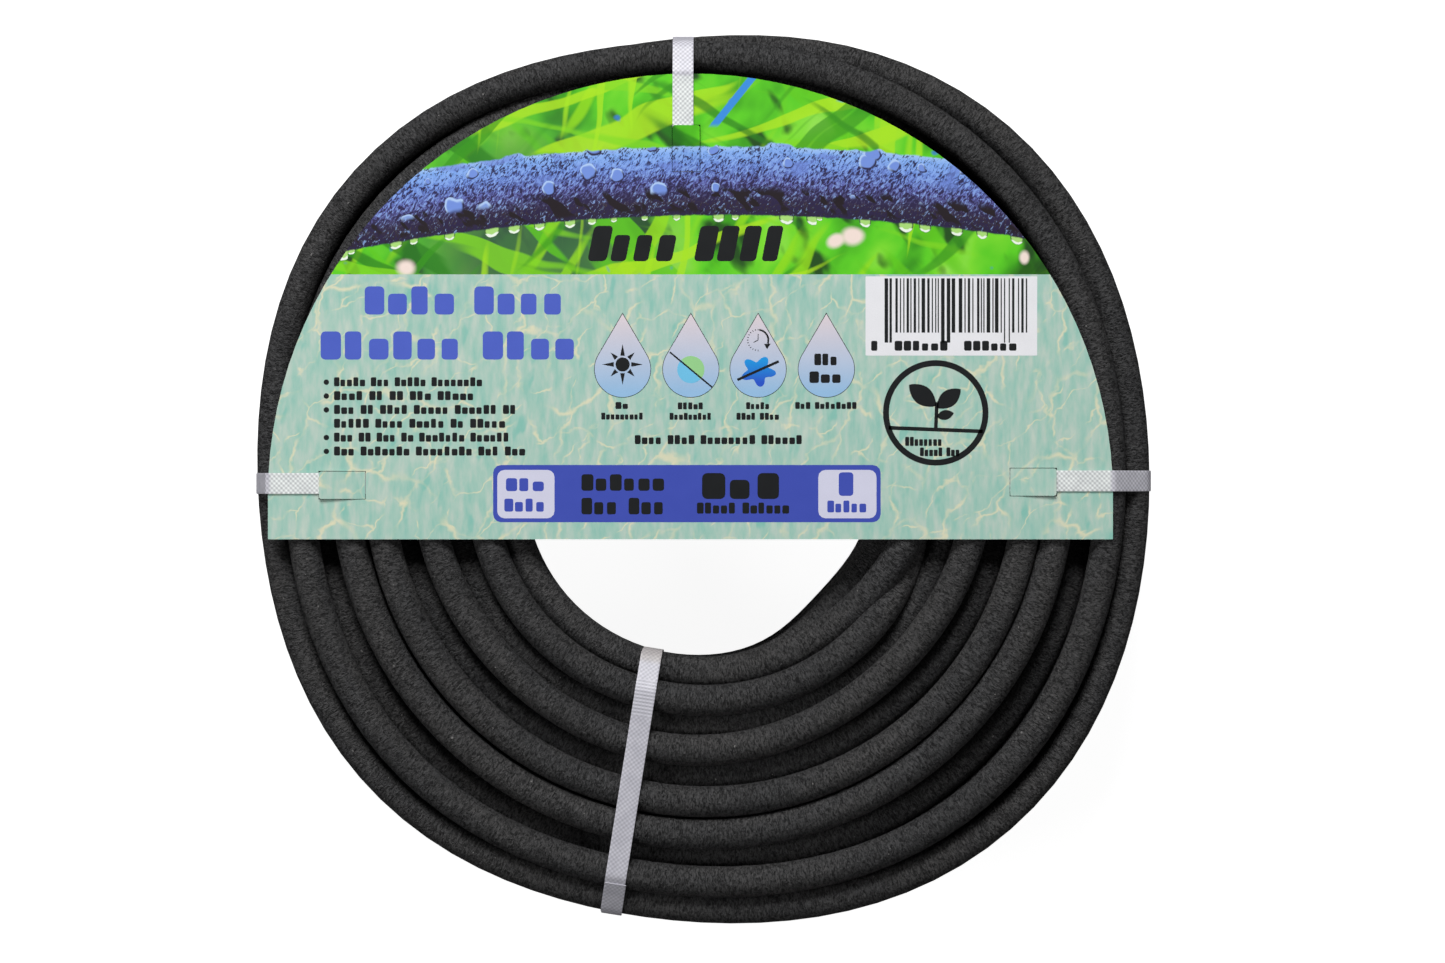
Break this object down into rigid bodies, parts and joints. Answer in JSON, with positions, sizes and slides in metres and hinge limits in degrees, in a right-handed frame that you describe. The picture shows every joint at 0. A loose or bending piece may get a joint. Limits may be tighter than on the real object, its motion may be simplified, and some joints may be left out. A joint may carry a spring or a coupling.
{
  "type": "soaker hose",
  "caption": "Flat round coil of black porous soaker hose tied with white plastic straps, with a half-round card label on its face that is locked on by die-cut tongues.",
  "frame": {"origin": "middle of the underside of the whole coil, on the surface that it lies on", "axes": "+Z out of the labelled face, +Y towards the top of the label, +X to the right as the label is read"},
  "size_m": [0.4563, 0.4483, 0.0923],
  "materials": {
    "porous_rubber": "matt, pebbled, porous",
    "plastic_band": "milky, embossed with a fine diamond pattern",
    "printed_card": "gloss laminated print on card"
  },
  "bodies": {
    "coil": {"hose_coil": "porous_rubber", "label_card": "printed_card", "strap_top": "plastic_band", "strap_left": "plastic_band", "strap_right": "plastic_band", "strap_bottom": "plastic_band"},
    "tongue_top": {"label_tongue_top": "printed_card"},
    "tongue_left": {"label_tongue_left": "printed_card"},
    "tongue_right": {"label_tongue_right": "printed_card"}
  },
  "joints": [
    {"name": "tongue_top_fold", "type": "hinge", "parent": "coil", "child": "tongue_top", "pos_m": [-0.0078, 0.1559, 0.09035], "axis": [1, 0, 0], "range_deg": [0, 75], "stiffness_Nm_per_rad": 0.002},
    {"name": "tongue_left_fold", "type": "hinge", "parent": "coil", "child": "tongue_left", "pos_m": [-0.1707, -0.0034, 0.09035], "axis": [0, 1, 0], "range_deg": [0, 75], "stiffness_Nm_per_rad": 0.002},
    {"name": "tongue_right_fold", "type": "hinge", "parent": "coil", "child": "tongue_right", "pos_m": [0.1567, -0.0018, 0.09035], "axis": [0, -1, 0], "range_deg": [0, 75], "stiffness_Nm_per_rad": 0.002}
  ]
}
